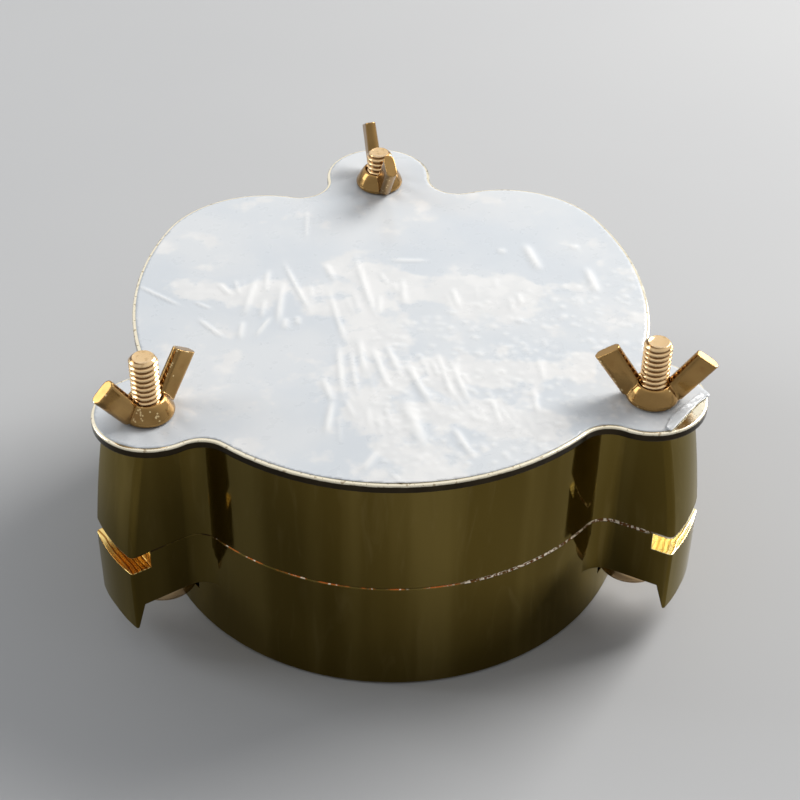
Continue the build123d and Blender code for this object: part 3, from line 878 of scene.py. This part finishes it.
def area_light(name, place, target, size, power, color, lights_matt):
    """Soft rectangular lamp that points at a target."""
    lamp = bpy.data.lights.new(name, "AREA")
    lamp.shape = "RECTANGLE"
    lamp.size, lamp.size_y = size
    lamp.energy = power
    lamp.color = color
    holder = bpy.data.objects.new(name, lamp)
    holder.location = place
    holder.rotation_euler = (Vector(target) - Vector(place)).to_track_quat("-Z", "Y").to_euler()
    holder.visible_diffuse = lights_matt
    bpy.context.scene.collection.objects.link(holder)


def studio_air():
    """World that is pale overhead and behind the flask and dim at the front."""
    world = bpy.data.worlds.new("studio_air")
    bpy.context.scene.world = world
    world.use_nodes = True
    tree = world.node_tree
    background = tree.nodes["Background"]
    background.inputs["Color"].default_value = AIR_COLOR
    direction = tree.nodes.new("ShaderNodeTexCoord").outputs["Generated"]
    toward = tree.nodes.new("ShaderNodeVectorMath")
    toward.operation = "DOT_PRODUCT"
    tree.links.new(direction, toward.inputs[0])
    toward.inputs[1].default_value = BRIGHT_SIDE
    shade = tree.nodes.new("ShaderNodeMapRange")
    shade.interpolation_type = "SMOOTHSTEP"
    shade.inputs["From Min"].default_value, shade.inputs["From Max"].default_value = AIR_SPAN
    shade.inputs["To Min"].default_value = AIR_DIM
    shade.inputs["To Max"].default_value = 1.0
    tree.links.new(toward.outputs["Value"], shade.inputs["Value"])
    path = tree.nodes.new("ShaderNodeLightPath")
    seen = path.outputs["Is Camera Ray"]
    for ray in ("Is Glossy Ray", "Is Transmission Ray"):
        either = tree.nodes.new("ShaderNodeMath")
        either.operation = "MAXIMUM"
        tree.links.new(seen, either.inputs[0])
        tree.links.new(path.outputs[ray], either.inputs[1])
        seen = either.outputs[0]
    level = tree.nodes.new("ShaderNodeMapRange")
    level.inputs["To Min"].default_value = AIR_LIGHT
    level.inputs["To Max"].default_value = 1.0
    tree.links.new(seen, level.inputs["Value"])
    strength = tree.nodes.new("ShaderNodeMath")
    strength.operation = "MULTIPLY"
    tree.links.new(shade.outputs["Result"], strength.inputs[0])
    tree.links.new(level.outputs["Result"], strength.inputs[1])
    tree.links.new(strength.outputs[0], background.inputs["Strength"])


def studio():
    """Pale floor, soft key behind on the right, low lamp beside it for gloss alone, weak fill on the left."""
    reach = FLOOR_REACH
    corners = [(-reach, -reach, 0), (reach, -reach, 0), (reach, reach, 0), (-reach, reach, 0)]
    floor = add_object("floor", corners, [(0, 1, 2, 3)], False)
    floor.data.materials.append(floor_paint())
    for name, lamp in LAMPS.items():
        area_light(name, *lamp)
    studio_air()


def camera():
    """Camera at the photograph's place, looking down 39 degrees, rolled a touch."""
    right, up, ahead = camera_axes()
    lens = bpy.data.cameras.new("photo_camera")
    lens.sensor_width = CAMERA_SENSOR
    lens.lens = CAMERA_SENSOR * CAMERA_FOCUS / PHOTO_SIZE
    lens.clip_start = 0.01
    holder = bpy.data.objects.new("photo_camera", lens)
    turn = Matrix((right, up, -ahead)).transposed()
    holder.matrix_world = Matrix.Translation(Vector(CAMERA_PLACE) * MM) @ turn.to_4x4()
    bpy.context.scene.collection.objects.link(holder)
    bpy.context.scene.camera = holder


def main():
    """Dresses the frame."""
    brass = body_brass()
    for node in ("lower_half", "upper_half"):
        dress_node(node, brass)
    dress_node("lid_plate", lid_brass())
    dress_node("ejector_plate", turned_brass())
    bolt_finish = bolt_brass()
    nut_finish = nut_brass()
    for name, place in BOLT_PLACES.items():
        top_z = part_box("bolt_" + name)[1].z / MM
        bolt("bolt_" + name, place, top_z, bolt_finish)
        wing_nut("wing_nut_" + name, place, NUT_TURNS[name], nut_finish)
    film_sheet(film_plastic())
    studio()
    camera()
    bpy.context.scene.view_settings.view_transform = "Standard"


main()
